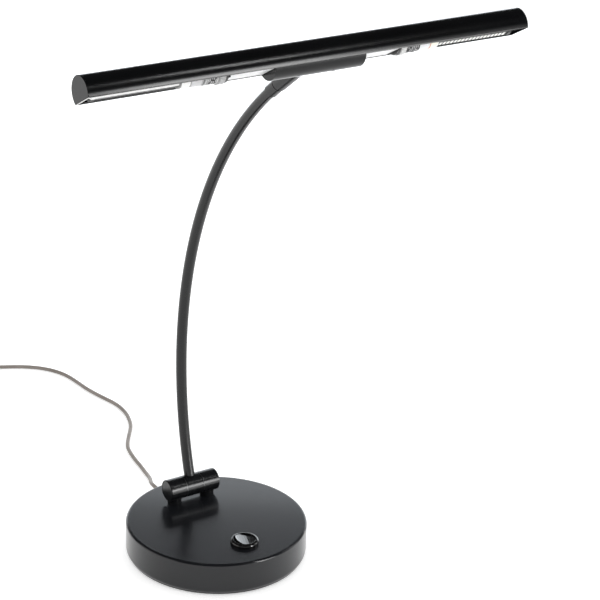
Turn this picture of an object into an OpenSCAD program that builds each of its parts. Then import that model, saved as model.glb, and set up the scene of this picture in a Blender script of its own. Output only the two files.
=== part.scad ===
// Piano lamp: a weighted round base with a rocker switch, a hinged bow arm and a
// tubular shade that swivels and tilts, with two tubular lamps and a mains lead.
// Millimetres. +Z is up, +X runs along the hinge and the shade, -Y is the front.
// Origin: centre of the base, on the surface that the lamp stands on.

/* [Base] */
// Radius of the round base
base_r = 100; // [90:1:130]
// Height from the table to the top face of the base
base_h = 38.5; // [34:0.5:60]
// Sheet thickness of the base cover
base_wall = 2; // [1.5:0.1:2.4]
// Rounding of the upper edge of the base
rim_r = 2.6; // [2.5:0.1:5]
// Rounding of the lower edge of the base
curl_r = 6; // [4:0.5:9]
// Thickness of the foot pad
pad_t = 1.5; // [1:0.1:3]
// Distance of the foot pad's edge from the wall of the base
pad_inset = 5.5; // [4:0.5:12]
// Thickness of the bottom plate
plate_t = 2; // [1.5:0.1:3]
// Thickness of the ballast disc
ballast_t = 14; // [8:0.5:16]
// Distance of the ballast disc's edge from the wall of the base
ballast_inset = 10; // [8:0.5:20]
// Radius of the centre bolt
centre_bolt_r = 3; // [2.5:0.5:4]
// Radius of the pillar that the centre bolt screws into
pillar_r = 8; // [6:0.5:10]

/* [Switch] */
// Distance of the switch in front of the base centre
switch_y = 59; // [50:1:66]
// Turn of the switch about its upright axis
switch_turn = -20; // [-45:5:45]
// Outer radius of the switch bezel
bezel_r = 15.4; // [15:0.1:18]
// Height of the switch bezel above the base
bezel_h = 4.6; // [3:0.1:5.5]
// Radius of the switch barrel below the bezel
barrel_r = 13.2; // [13.2:0.1:13.8]
// Depth of the switch below the base's top face
switch_depth = 19; // [16:0.5:21]
// Radius of the rocker cap
rocker_r = 10.9; // [10:0.1:11]
// Half height of the rocker cap above and below its pivot
rocker_half_h = 4.5; // [3.5:0.1:4.6]
// Height of the rocker's pivot above the base's top face
pivot_rise = 1; // [0.5:0.1:1.5]
// Tilt of the rocker in each of its two states
rocker_tilt = 9; // [6:0.5:10]
// Radius of the hollow in the rocker cap's top
dish_r = 30; // [24:1:45]
// Radius of the rocker's pivot pins
pivot_r = 1.5; // [1:0.1:1.8]

/* [Hinge] */
// Distance of the hinge behind the base centre
hinge_y = 57; // [45:1:66]
// Outer radius of the hinge barrel
knuckle_r = 12.15; // [11.6:0.05:14]
// Length of the whole hinge barrel
hinge_len = 62; // [60:1:74]
// Length of the middle knuckle
centre_len = 20.4; // [18:0.2:22]
// Thickness of each bright friction washer
friction_t = 0.5; // [0.4:0.1:1]
// Height of the posts between base and barrel
post_gap = 4; // [3:0.5:10]
// Radius of the posts
post_r = 7.75; // [6.5:0.25:9]
// Radius of the screws that hold the posts
post_screw_r = 3; // [2.5:0.5:3]
// Radius of the hinge bolt
hinge_bolt_r = 4; // [3:0.5:4]
// Depth of the pockets for bolt head and nut in the barrel's ends
pocket_depth = 5.2; // [5.2:0.1:6]
// Radius of those pockets
pocket_r = 8; // [7.7:0.1:8.5]
// Radius of the caps in the barrel's ends
hinge_cap_r = 10.4; // [9.5:0.1:10.8]
// Thickness of the caps in the barrel's ends
hinge_cap_t = 1.5; // [1:0.1:2]
// Lean of the arm's foot back from upright
arm_lean = 18.9; // [10:0.1:30]

/* [Arm] */
// Outer radius of the arm tube
tube_r = 6; // [5.8:0.05:6.2]
// Wall of the arm tube
tube_wall = 1.2; // [1:0.1:1.4]
// Bend radius of the arm at the tube's middle
arm_r = 461; // [380:1:560]
// Angle of the arm's bend
arm_sweep = 71.3; // [60:0.1:80]
// Length from the end of the bend to the axis of the shade
neck_len = 71.8; // [64:0.2:90]
// Outer radius of the collar on the tube's end
collar_r = 7.3; // [7.1:0.05:8.5]
// Angle of the bend that the collar covers
collar_angle = 2.1; // [1:0.1:4]
// Outer radius of the swivel sleeve
sleeve_r = 8; // [7.8:0.1:8.6]
// Radius of the swivel stud
stud_r = 4.4; // [4:0.05:4.5]
// Outer radius of the nipple that carries the shade
nipple_r = 5; // [4.8:0.1:5.2]
// Bore radius of the nipple
nipple_bore = 3; // [2:0.1:3.2]

/* [Shade] */
// Outer radius of the shade tube
shade_r = 16.5; // [16.4:0.1:22]
// Wall of the shade tube
shade_wall = 1.2; // [1:0.1:1.5]
// Half of the whole length of the shade
shade_half = 246.4; // [240:0.2:300]
// Half angle of the shade's open side
mouth_half = 61; // [56:1:63]
// Turn of the shade's open side from straight down towards the front
shade_turn = 30; // [20:1:40]
// Tilt of the shade each way about its own axis
shade_tilt = 30; // [15:1:30]
// Half length of the cover under the middle of the shade
cover_half = 50.7; // [45:0.1:60]
// Thickness of the end caps outside the shade
end_cap_t = 1.5; // [1:0.1:3]
// Radius of the bead along each lip of the shade
bead_r = 1; // [0.8:0.1:1.2]
// Radius of the tilt hub on the nipple
hub_r = 9; // [8:0.1:9.4]
// Half length of the tilt hub
hub_half = 11.5; // [8:0.5:14]
// Radius of the tilt pin
tilt_pin_r = 4; // [3:0.1:4.2]
// Thickness of the sheet metal brackets in the shade
bracket_t = 2; // [1.5:0.1:2.5]
// Thickness of the carrier bar
bar_t = 2; // [1.5:0.1:2.6]

/* [Lamps] */
// Distance of the right lamp holder's back from the middle
holder_x = 92.5; // [90:0.5:98]
// Distance that the left lamp sits further out than the right one
left_shift = 6.5; // [0:0.5:7]
// Length of each lamp holder
holder_len = 24.3; // [22:0.1:27]
// Outer radius of each lamp holder
holder_r = 11; // [10.4:0.1:11.6]
// Radius of the ring on each lamp holder
holder_ring_r = 12.2; // [11.8:0.1:13]
// Radius of the lamp's screw cap
lamp_cap_r = 6.9; // [6.5:0.1:7]
// Radius of the lamp's housing
housing_r = 10.6; // [9:0.1:11]
// Length of the lamp's housing
housing_len = 25; // [20:0.5:30]
// Radius of the lamp's light stick across its edges
stick_r = 8.4; // [7:0.1:8.6]
// Length of the light stick
stick_len = 86; // [70:1:87]
// Turn of the right lamp's chips from the mouth towards the front
right_turn = 15; // [0:5:45]
// Turn of the left lamp's chips from the mouth towards the front
left_turn = -90; // [-90:5:45]
// Light chips in each row on the stick
chips_per_row = 18; // [8:1:19]

/* [Lead] */
// Diameter of the mains lead
lead_d = 4.6; // [4:0.1:5]
// Height of the lead's outlet above the table
outlet_z = 13; // [12:0.5:16]
// Length of the tapered strain relief outside the base
relief_len = 28; // [20:1:60]

/* [Hidden] */
$fn = 64;
// Gap of parts that are pressed, glued or screwed together
fit = 0.05;
// Gap all round a shaft that turns in a bore
run = 0.05;
// Gap between parts that move past each other
gap = 0.3;
// Depth that a cutting shape passes through a face
over = 1;
// Depth that joined shapes of one body share
join = 0.2;

// Base: levels and radii
base_top_under = base_h - base_wall;
plate_top = pad_t + plate_t;
ballast_top = plate_top + ballast_t;
ballast_r = base_r - ballast_inset;
foot_r = base_r - pad_inset;
mouth_r = base_r - curl_r;
bolt_head_r = 2 * centre_bolt_r;
// Switch: places from the base's top face
shell_hole_r = barrel_r + gap;
pivot_z = base_h + pivot_rise;
bezel_hole_r = norm([rocker_r, rocker_half_h]) + gap;
pivot_pin_end = bezel_hole_r + 0.8;
rocker_reach = rocker_r * sin(rocker_tilt) + rocker_half_h * cos(rocker_tilt);
well_z = pivot_z - rocker_reach - gap;
contact_len = 9;
// Wiring: places of the terminal block and the lead's anchor
block_y = 26;
block_size = [24, 12, 11];
anchor_y = 74;
anchor_l = 8;
gland_y = base_r - base_wall - 8;
// Hinge: places along the barrel
hinge_z = base_h + post_gap + knuckle_r;
washer_out = centre_len / 2 + run + friction_t;
outer_len = hinge_len / 2 - washer_out;
post_x = washer_out + outer_len / 2;
pocket_x = hinge_len / 2 - hinge_cap_t - pocket_depth;
setscrew_r = 1.5;
setscrew_s = 9;
screw_tip_z = hinge_z - hinge_bolt_r - 1.6;
post_washer_t = 1.5;
post_washer_r = 3 * post_screw_r;
post_head_r = 1.8 * post_screw_r;
post_head_h = 1.2 * post_screw_r;
nut_h = 4;
spring_t = 0.5;
// Arm: the bend's centre, its end and the shade's axis, all in the plane x = 0
bend_y = hinge_y - arm_r * cos(arm_lean);
bend_z = hinge_z + arm_r * sin(arm_lean);
end_angle = arm_sweep - arm_lean;
heading = end_angle + 90;
shade_y = bend_y + arm_r * cos(end_angle) + neck_len * cos(heading);
shade_z = bend_z + arm_r * sin(end_angle) + neck_len * sin(heading);
tube_start = asin((hinge_bolt_r + 1.6) / arm_r);
tube_bore = tube_r - tube_wall;
seat_end = asin((knuckle_r + over) / arm_r);
collar_end = neck_len - 1.2;
// Neck: distances from the shade's axis along the neck
sleeve_top = shade_r + 0.7;
sleeve_end = collar_end - gap;
stud_top = sleeve_end - 25;
stud_foot = neck_len + 8;
nut_chamber = 10;
swivel_nut_h = 5;
nipple_foot = sleeve_top + 12;
nipple_tip = tilt_pin_r + 2.5;
// Shade: the section's own frame has its mouth straight down
inner_r = shade_r - shade_wall;
lip = mouth_half - 90;
chord_z = shade_r * sin(lip);
bar_half_w = 9.4;
bracket_back = holder_x - 0.75 * bracket_t;
bar_z = sqrt(pow(inner_r - fit, 2) - pow(bar_half_w, 2)) - bar_t;
bracket_x = hub_half + 1.1;
tilt_pin_half = bracket_x + bracket_t + 8;
bracket_r = shade_r - 2 * bead_r - gap;
slot_half = nipple_r + 0.4;
neck_local = 90 + end_angle + shade_turn + 180 - 360;
slot_end = asin(slot_half / shade_r);
tab_z = 14.2;
tab_x = 5;
cover_screw_x = tab_x + bracket_x + bracket_t;
cover_screw_r = 1.25;
// Lamps: distances from the middle along the shade
holder_end = holder_x + holder_len;
ring_x = holder_x + 3;
ring_w = 6;
socket_floor = holder_x + 6.5;
wire_hole_r = 3.5;
cap_tip = 1.6;
housing_end = holder_end + gap + housing_len;
stick_end = housing_end + stick_len;
tip_len = 5;
stick_flat = stick_r * cos(22.5);
chip_pitch = (stick_len - 4) / chips_per_row;
chip_l = 0.62 * chip_pitch;
chip_w = 0.72 * 2 * stick_r * sin(22.5);
chip_t = 0.35;
// Lead: the run on the table, one point for each ring of the tube
lead_r = lead_d / 2;
gland_flange = 2;
relief_end_y = base_r + gland_flange + relief_len;
run_route = [
    [0, relief_end_y, outlet_z], [0, 136, 13], [0.5, 143, 12.6], [2.5, 151, 11], [6, 159, 8.8],
    [10, 167, 6.2], [13.5, 176, 4.2], [16, 186, 2.9], [18, 197, 2.4], [20, 209, 2.4],
    [21.5, 221, 2.4], [23.5, 233, 2.4], [26, 245, 2.4], [29.5, 257, 2.4], [35, 268, 2.4],
    [42, 279, 2.4], [49.5, 290, 2.4], [57, 301, 2.4], [63, 312, 2.4], [67.5, 324, 2.4],
    [71, 336, 2.4], [73, 349, 2.4], [73.5, 362, 2.4], [72, 375, 2.4], [69, 388, 2.4],
    [66, 401, 2.4], [63.5, 414, 2.4], [61.5, 427, 2.4], [60.5, 440, 2.4], [59.5, 453, 2.4],
    [58, 466, 2.4], [55, 479, 2.4], [50, 491, 2.4], [43, 502, 2.4], [34, 512, 2.4],
    [23.5, 520.5, 2.4], [12, 527.5, 2.4], [0, 533.5, 2.4], [-12, 539.5, 2.4],
    [-24, 545.5, 2.6], [-36, 551.5, 3], [-46, 556.5, 3.4], [-54, 560.5, 3.4]
];
// Lead: the coil, wound in towards its middle and out again in a second layer
coil_turns = 3.625;
coil_pitch = lead_d + 0.5;
coil_mid_r = 6 * lead_d;
coil_in_r = coil_mid_r - coil_turns * coil_pitch / 2;
coil_out_r = coil_mid_r + coil_turns * coil_pitch / 2;
rings_per_loop = 24;
coil_start = run_route[len(run_route) - 1];
coil_heading = unit(coil_start - run_route[len(run_route) - 2]);
coil_centre = coil_start + coil_out_r * [-coil_heading[1], coil_heading[0], 0];
coil_start_angle = atan2(coil_heading[1], coil_heading[0]) - 90;
reverse_angle = 360 * coil_turns;
tail_len = 20;
coil_steps = round(2 * coil_turns * rings_per_loop);
// Lead: the tie round the coil and the plug at the end of the tail
tie_w = 6;
tie_t = 0.8;
plug_len = 36;
plug_half_w = 17.6;
plug_half_h = 6.8;
pin_r = 2;
pin_len = 19;
pin_spread = 9.3;
pin_sleeve = 10;

function unit(v) = v / norm(v);
function climb(a) = coil_pitch * min(max((a - reverse_angle + 90) / 180, 0), 1);
function coil_radius(a) = coil_in_r + coil_pitch * abs(a - reverse_angle) / 360;
function coil_point(a) = [
    coil_centre[0] + coil_radius(a) * cos(coil_start_angle + a),
    coil_centre[1] + coil_radius(a) * sin(coil_start_angle + a),
    coil_start[2] + climb(a)
];
coil_loops = [for (i = [0:coil_steps]) coil_point(i * 360 / rings_per_loop)];
coil_last = coil_loops[coil_steps];
tail_heading = let (a = coil_start_angle + 2 * reverse_angle + 90) [cos(a), sin(a), 0];
tail_drop = [0, 0, plug_half_h - coil_last[2]];
tail = [for (s = [0.3, 0.65, 1]) coil_last + s * tail_len * tail_heading + s * tail_drop];
coil_route = concat(
    [coil_start], [for (i = [1:coil_steps]) coil_loops[i]], tail
);
plug_start = tail[len(tail) - 1];
plug_angle = atan2(tail_heading[1], tail_heading[0]);

// Length of a route, and the least distance between a coil's turns, less the lead
function route_length(p) = sum_to(p, len(p) - 1);
function sum_to(p, i) = i == 0 ? 0 : norm(p[i] - p[i - 1]) + sum_to(p, i - 1);
coil_gap = min([
    for (i = [0:coil_steps - rings_per_loop + 4])
        for (j = [i + rings_per_loop - 4:coil_steps]) norm(coil_loops[i] - coil_loops[j])
]) - lead_d;
echo(coil_gap = coil_gap);
echo(lead_length = route_length(run_route) + route_length(coil_route));
echo(shade_axis = [shade_y, shade_z]);

// Points of a ring of the lead's tube about the route's point i
function heading_at(p, i) = unit(
    i == 0 ? p[1] - p[0] : i == len(p) - 1 ? p[i] - p[i - 1] : p[i + 1] - p[i - 1]
);
function ring_points(p, i, r, n) =
    let (t = heading_at(p, i), s = unit(cross(t, [0, 0, 1])), u = cross(s, t))
    [for (k = [0:n - 1]) p[i] + r * (cos(360 * k / n) * s + sin(360 * k / n) * u)];

// Tube along a route of points, with n sides
module swept_tube(p, r, n) {
    rings = len(p);
    ends = [[for (k = [n - 1:-1:0]) k], [for (k = [0:n - 1]) (rings - 1) * n + k]];
    sides = [
        for (i = [0:rings - 2]) for (k = [0:n - 1])
            let (a = i * n + k, b = i * n + (k + 1) % n, c = b + n, d = a + n)
            each [[a, b, c], [a, c, d]]
    ];
    polyhedron(
        points = [for (i = [0:rings - 1]) each ring_points(p, i, r, n)],
        faces = concat(ends, sides)
    );
}

// Cylinder along X from x0 to x1
module rod_x(r, x0, x1) {
    translate([x0, 0, 0]) rotate([0, 90, 0]) cylinder(r = r, h = x1 - x0);
}

// Cylinder along Y from y0 to y1
module rod_y(r, y0, y1) {
    translate([0, y0, 0]) rotate([-90, 0, 0]) cylinder(r = r, h = y1 - y0);
}

// Flat shape in (Y, Z) carried along X from x0 to x1
module along_x(x0, x1) {
    translate([x0, 0, 0]) rotate([90, 0, 90]) linear_extrude(x1 - x0) children();
}

// Profile (distance, X) turned about the X axis
module turned_x() {
    rotate([0, 90, 0]) rotate_extrude() children();
}

// Mirrored copy beside the piece
module both_sides() {
    children();
    mirror([1, 0, 0]) children();
}

// Half section of a round can with rounded upper and lower edges
module can_profile(r, z0, z1, top_r, low_r) {
    translate([0, z0]) square([r - low_r, z1 - z0]);
    translate([0, z0 + low_r]) square([r, z1 - z0 - low_r - top_r]);
    translate([0, z0]) square([r - top_r, z1 - z0]);
    intersection() {
        union() {
            translate([r - top_r, z1 - top_r]) circle(top_r);
            translate([r - low_r, z0 + low_r]) circle(low_r);
        }
        square([r, z1]);
    }
}

// Hexagon bar along Z, by its width across flats
module hex_bar(flats, h) {
    cylinder(r = flats / sqrt(3), h = h, $fn = 6);
}

// Frame of the left lamp, mirrored and further out
module on_left_lamp() {
    translate([-left_shift, 0, 0]) mirror([1, 0, 0]) children();
}

// Piece of the right lamp and its copy on the left lamp
module both_lamps() {
    children();
    on_left_lamp() children();
}

module on_switch() {
    translate([0, -switch_y, 0]) rotate([0, 0, switch_turn]) children();
}

module on_hinge() {
    translate([0, hinge_y, hinge_z]) children();
}

// ---- Base ----

module base_shell() {
    color([0.07, 0.07, 0.075]) difference() {
        union() {
            difference() {
                rotate_extrude($fn = 180)
                    can_profile(base_r, pad_t, base_h, rim_r, curl_r);
                rotate_extrude($fn = 180) can_profile(
                    base_r - base_wall, plate_top, base_top_under,
                    rim_r - base_wall, curl_r - base_wall
                );
                cylinder(r = mouth_r, h = plate_top + over, $fn = 180);
            }
            translate([0, 0, ballast_top])
                cylinder(r = pillar_r, h = base_top_under - ballast_top + over);
        }
        translate([0, 0, ballast_top - over])
            cylinder(r = centre_bolt_r + fit, h = base_top_under - ballast_top - over);
        on_switch() translate([0, 0, base_top_under - over])
            cylinder(r = shell_hole_r, h = base_wall + 2 * over);
        both_sides() translate([post_x, hinge_y, base_top_under - over])
            cylinder(r = post_screw_r + fit, h = base_wall + 2 * over);
        translate([0, 0, outlet_z])
            rod_y(lead_r + 2.8, base_r - base_wall - 2 * over, base_r + over);
    }
}

module base_pad() {
    color([0.03, 0.03, 0.03]) cylinder(r = foot_r, h = pad_t, $fn = 180);
}

// Cone for a countersunk head, from its flat face down to the shaft
module countersink(clearance) {
    translate([0, 0, pad_t]) cylinder(
        r1 = bolt_head_r + clearance, r2 = centre_bolt_r + clearance,
        h = bolt_head_r - centre_bolt_r
    );
}

module bottom_plate() {
    color([0.5, 0.5, 0.52]) difference() {
        translate([0, 0, pad_t]) cylinder(r = mouth_r - gap, h = plate_t, $fn = 180);
        translate([0, 0, pad_t - over])
            cylinder(r = centre_bolt_r + fit, h = plate_t + 2 * over);
        countersink(fit);
    }
}

module ballast_disc() {
    channel_w = 20;
    color([0.25, 0.25, 0.26]) difference() {
        translate([0, 0, plate_top]) cylinder(r = ballast_r, h = ballast_t, $fn = 180);
        translate([0, 0, plate_top - over]) {
            cylinder(r = centre_bolt_r + fit, h = ballast_t + 2 * over);
            translate([0, -switch_y, 0])
                cylinder(r = barrel_r + 6, h = ballast_t + 2 * over);
            translate([-channel_w / 2, base_r * 0.62, 0])
                cube([channel_w, base_r, ballast_t + 2 * over]);
            translate([0, base_r * 0.62, 0])
                cylinder(r = channel_w / 2, h = ballast_t + 2 * over);
        }
        countersink(fit);
    }
}

module centre_bolt() {
    socket = 1.7 * centre_bolt_r;
    color([0.55, 0.55, 0.57]) difference() {
        union() {
            countersink(0);
            translate([0, 0, pad_t])
                cylinder(r = centre_bolt_r, h = base_top_under - pad_t - 3 * over);
        }
        translate([0, 0, pad_t - over]) hex_bar(socket, 2.4 + over);
    }
}

// ---- Switch in the base ----

module switch_housing() {
    edge_r = 2.2;
    lip_w = 0.8;
    floor_t = 1.2;
    block = [16, 11];
    ring_r = bezel_r - edge_r;
    barrel_z = well_z - floor_t;
    block_z = base_h - switch_depth;
    clip_h = 4;
    color([0.02, 0.02, 0.02]) on_switch() difference() {
        union() {
            rotate_extrude() {
                translate([ring_r, base_h + edge_r]) circle(edge_r);
                translate([bezel_hole_r, base_h]) square([ring_r - bezel_hole_r, 2 * edge_r]);
                translate([ring_r, base_h]) square([edge_r, edge_r]);
                translate([bezel_hole_r, base_h]) square([lip_w, bezel_h + join]);
            }
            translate([0, 0, barrel_z]) cylinder(r = barrel_r, h = base_h - barrel_z + join);
            translate([-block[0] / 2, -block[1] / 2, block_z])
                cube([block[0], block[1], barrel_z - block_z + join]);
            for (s = [-1, 1]) translate([s * barrel_r - 1, -3, base_top_under - clip_h])
                cube([2, 6, clip_h - fit]);
        }
        translate([0, 0, well_z]) cylinder(r = bezel_hole_r, h = base_h);
        translate([0, 0, pivot_z])
            rod_y(pivot_r + run, -pivot_pin_end - run, pivot_pin_end + run);
    }
}

module switch_contacts() {
    blade_w = 4.8;
    blade_t = 0.8;
    color([0.78, 0.66, 0.35]) on_switch() for (x = [-4.5, 4.5])
        translate([x - blade_t / 2, -blade_w / 2, base_h - switch_depth - contact_len])
            difference() {
                cube([blade_t, blade_w, contact_len]);
                translate([-over, blade_w / 2, 2.4]) rotate([0, 90, 0])
                    cylinder(r = 0.8, h = blade_t + 2 * over);
            }
}

module switch_rocker() {
    color([0.02, 0.02, 0.02]) on_switch()
        translate([0, 0, pivot_z]) rotate([0, rocker_tilt, 0]) {
            difference() {
                translate([0, 0, -rocker_half_h]) cylinder(r = rocker_r, h = 2 * rocker_half_h);
                dish = rocker_half_h + sqrt(dish_r * dish_r - rocker_r * rocker_r);
                translate([0, 0, dish]) rod_y(dish_r, -2 * rocker_r, 2 * rocker_r);
                translate([0, 0, -rocker_half_h - over])
                    cylinder(r = rocker_r - 1.6, h = rocker_half_h);
            }
            rod_y(pivot_r, -pivot_pin_end, pivot_pin_end);
        }
}

// ---- Wiring in the base ----

module terminal_block() {
    poles = 3;
    pole_w = block_size[0] / poles;
    color([0.85, 0.85, 0.82]) translate([-block_size[0] / 2, block_y, ballast_top])
        difference() {
            union() {
                cube([block_size[0], block_size[1], block_size[2] * 0.45]);
                for (i = [0:poles - 1]) translate([i * pole_w + 0.6, 0, 0])
                    cube([pole_w - 1.2, block_size[1], block_size[2]]);
            }
            for (i = [0:poles - 1]) {
                translate([(i + 0.5) * pole_w, 0, block_size[2] * 0.4])
                    rod_y(1.6, -over, block_size[1] + over);
                for (y = [3, 9]) translate([(i + 0.5) * pole_w, y, block_size[2] * 0.4])
                    cylinder(r = 1.5, h = block_size[2]);
            }
        }
}

module cord_anchor() {
    half_w = 8.5;
    cap_z = outlet_z + lead_r + 3;
    color([0.12, 0.12, 0.12]) difference() {
        union() {
            translate([-half_w, anchor_y, plate_top])
                cube([2 * half_w, anchor_l, cap_z - plate_top]);
            for (s = [-1, 1]) translate([s * 5.4, anchor_y + anchor_l / 2, cap_z])
                cylinder(r = 2.4, h = 1.6);
        }
        translate([0, 0, outlet_z]) rod_y(lead_r + fit, anchor_y - over, anchor_y + anchor_l + over);
        translate([-half_w - over, anchor_y - over, outlet_z])
            cube([half_w - lead_r, anchor_l + 2 * over, 0.6]);
        translate([lead_r + over, anchor_y - over, outlet_z])
            cube([half_w, anchor_l + 2 * over, 0.6]);
    }
}

// The lead's end inside the base, and two wires by the terminal block to the switch
module base_wiring() {
    core_r = 1.1;
    core_sides = 8;
    core_x = core_r + fit;
    pole_x = block_size[0] / 3;
    side_x = pole_x + 3;
    contact_x = 6.8;
    hole_z = ballast_top + 0.4 * block_size[2];
    low_z = ballast_top + core_r + fit;
    contact_z = base_h - switch_depth - contact_len + 1.5;
    block_back = block_y + block_size[1];
    split_y = anchor_y - 6;
    fan_y = (split_y + block_back) / 2;
    drop_y = block_y - 12;
    turn_y = 20 - switch_y;
    color([0.35, 0.33, 0.32]) {
        translate([0, 0, outlet_z]) rod_y(lead_r, split_y, gland_y);
        for (s = [-1, 1]) swept_tube([
            [s * core_x, split_y, outlet_z], [s * (core_x + 0.3), split_y - 3, outlet_z + 0.5],
            [s * pole_x, fan_y, hole_z + 1.5], [s * pole_x, block_back + 2, hole_z],
            [s * pole_x, block_y - 1, hole_z], [s * pole_x, block_y - 3, hole_z],
            [s * (side_x - 1), drop_y + 4, low_z + 1], [s * side_x, drop_y, low_z],
            [s * side_x, turn_y, low_z], [s * (side_x - 1), turn_y - 6, low_z],
            [s * (contact_x + 1.2), turn_y - 13, contact_z + 1.5],
            [s * contact_x, turn_y - 19, contact_z]
        ], core_r, core_sides);
    }
}

module cord_gland() {
    barrel = lead_r + 2.7;
    color([0.04, 0.04, 0.04]) translate([0, 0, outlet_z]) difference() {
        union() {
            rod_y(barrel, gland_y, base_r);
            rod_y(barrel + 1.8, base_r, base_r + gland_flange);
            rod_y(barrel + 0.9, base_r - base_wall - 4, base_r - base_wall - 0.8);
        }
        rod_y(lead_r + fit, gland_y - over, gland_y + 6);
    }
}

module strain_relief() {
    rib_gap = relief_len / 7;
    color([0.05, 0.05, 0.05]) translate([0, base_r + gland_flange, outlet_z])
        rotate([-90, 0, 0]) difference() {
            cylinder(r1 = lead_r + 2, r2 = lead_r + 0.7, h = relief_len);
            for (i = [1:5]) translate([0, 0, i * rib_gap]) difference() {
                cylinder(r = lead_r + 3, h = rib_gap * 0.4);
                cylinder(r = lead_r + 0.6, h = rib_gap);
            }
        }
}

// ---- Hinge ----

module post() {
    color([0.06, 0.06, 0.065]) difference() {
        translate([post_x, hinge_y, base_h]) cylinder(r = post_r, h = post_gap + knuckle_r);
        on_hinge() rod_x(knuckle_r + fit, 0, hinge_len);
        translate([post_x, hinge_y, base_h - over])
            cylinder(r = post_screw_r + fit, h = post_gap + knuckle_r);
    }
}

module post_left() {
    mirror([1, 0, 0]) post();
}

module post_right() {
    post();
}

// Outer knuckle on the right, with a pocket and a cap seat in its outer end
module outer_knuckle() {
    end_x = hinge_len / 2;
    edge = 0.8;
    color([0.06, 0.06, 0.065]) difference() {
        on_hinge() difference() {
            turned_x() {
                translate([0, washer_out]) square([knuckle_r, outer_len - edge]);
                translate([0, end_x - edge])
                    polygon([[0, 0], [knuckle_r, 0], [knuckle_r - edge, edge], [0, edge]]);
            }
            rod_x(hinge_bolt_r + fit, 0, hinge_len);
            rod_x(pocket_r, pocket_x, hinge_len);
            rod_x(hinge_cap_r + fit, end_x - hinge_cap_t, hinge_len);
        }
        translate([post_x, hinge_y, base_h])
            cylinder(r = post_screw_r + fit, h = screw_tip_z + 0.4 - base_h);
    }
}

module knuckle_left() {
    mirror([1, 0, 0]) outer_knuckle();
}

module knuckle_right() {
    outer_knuckle();
}

module post_washers() {
    color([0.7, 0.7, 0.72]) both_sides()
        translate([post_x, hinge_y, base_top_under - post_washer_t]) difference() {
            cylinder(r = post_washer_r, h = post_washer_t);
            translate([0, 0, -over]) cylinder(r = post_screw_r + fit, h = post_washer_t + 2 * over);
        }
}

module post_screws() {
    head_z = base_top_under - post_washer_t - post_head_h;
    color([0.6, 0.6, 0.62]) both_sides() translate([post_x, hinge_y, head_z]) difference() {
        union() {
            cylinder(r = post_head_r, h = post_head_h);
            cylinder(r = post_screw_r, h = screw_tip_z - head_z);
        }
        translate([0, 0, -over]) hex_bar(5, post_head_h * 0.6 + over);
    }
}

module hinge_bolt() {
    head_x = pocket_x + nut_h;
    flats = 13;
    color([0.7, 0.7, 0.72]) on_hinge() difference() {
        union() {
            rod_x(hinge_bolt_r, -pocket_x - over, head_x + spring_t);
            translate([-head_x, 0, 0]) rotate([0, 90, 0]) hex_bar(flats, nut_h);
        }
        translate([-head_x - over, 0, 0]) rotate([0, 90, 0]) hex_bar(6, 2.6 + over);
    }
}

module hinge_nut() {
    color([0.7, 0.7, 0.72]) on_hinge() difference() {
        translate([pocket_x + 2 * spring_t, 0, 0]) rotate([0, 90, 0]) hex_bar(13, nut_h);
        rod_x(hinge_bolt_r + fit, 0, hinge_len);
    }
}

module spring_washers() {
    washer_r = 6.6;
    color([0.75, 0.75, 0.77]) on_hinge() for (i = [0, 1]) difference() {
        rod_x(washer_r, pocket_x + i * spring_t, pocket_x + (i + 1) * spring_t);
        rod_x(hinge_bolt_r + fit, 0, hinge_len);
    }
}

module hinge_caps() {
    end_x = hinge_len / 2;
    boss_l = pocket_depth - 2 * spring_t - nut_h - fit;
    color([0.05, 0.05, 0.055]) both_sides() on_hinge() {
        rod_x(hinge_cap_r, end_x - hinge_cap_t + fit, end_x - join);
        rod_x(pocket_r - gap, end_x - hinge_cap_t - boss_l, end_x - hinge_cap_t + over);
    }
}

module friction_washers() {
    color([0.8, 0.8, 0.82]) both_sides() on_hinge() difference() {
        rod_x(knuckle_r - 0.1, washer_out - friction_t, washer_out);
        rod_x(hinge_bolt_r + fit, 0, hinge_len);
    }
}

// ---- Arm ----

// Round section carried along the arm's bend from angle a0 to angle a1
module along_bend(a0, a1) {
    translate([0, bend_y, bend_z]) rotate([90, 0, 90]) rotate([0, 0, a0 - arm_lean])
        rotate_extrude(angle = a1 - a0, $fn = 360) translate([arm_r, 0]) children();
}

// Frame on the shade's axis, with Z running down the neck to the arm
module on_neck() {
    translate([0, shade_y, shade_z]) rotate([heading + 90, 0, 0]) children();
}

module knuckle_centre() {
    edge = 0.4;
    color([0.06, 0.06, 0.065]) difference() {
        on_hinge() turned_x() {
            square_half = centre_len / 2 - edge;
            translate([0, -square_half]) square([knuckle_r, 2 * square_half]);
            translate([0, -centre_len / 2]) square([knuckle_r - edge, centre_len]);
        }
        on_hinge() rod_x(hinge_bolt_r + run, -hinge_len, hinge_len);
        along_bend(tube_start - 0.03, 2 * seat_end) circle(tube_r + fit);
        on_setscrew() rod_y(setscrew_r + fit, tube_bore, knuckle_r);
    }
}

// Frame of the set screw that clamps the tube from behind, square to it
module on_setscrew() {
    on_hinge() rotate([-arm_lean, 0, 0]) translate([0, 0, setscrew_s]) children();
}

module tube_setscrew() {
    tip = tube_r + fit;
    back = sqrt(knuckle_r * knuckle_r - setscrew_s * setscrew_s);
    color([0.2, 0.2, 0.2]) on_setscrew() difference() {
        rod_y(setscrew_r, tip, back);
        translate([0, back - 1, 0]) rotate([-90, 0, 0]) hex_bar(1.5, 2);
    }
}

module arm_tube() {
    color([0.07, 0.07, 0.075]) along_bend(tube_start, arm_sweep) difference() {
        circle(tube_r);
        circle(tube_bore);
    }
}

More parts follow.
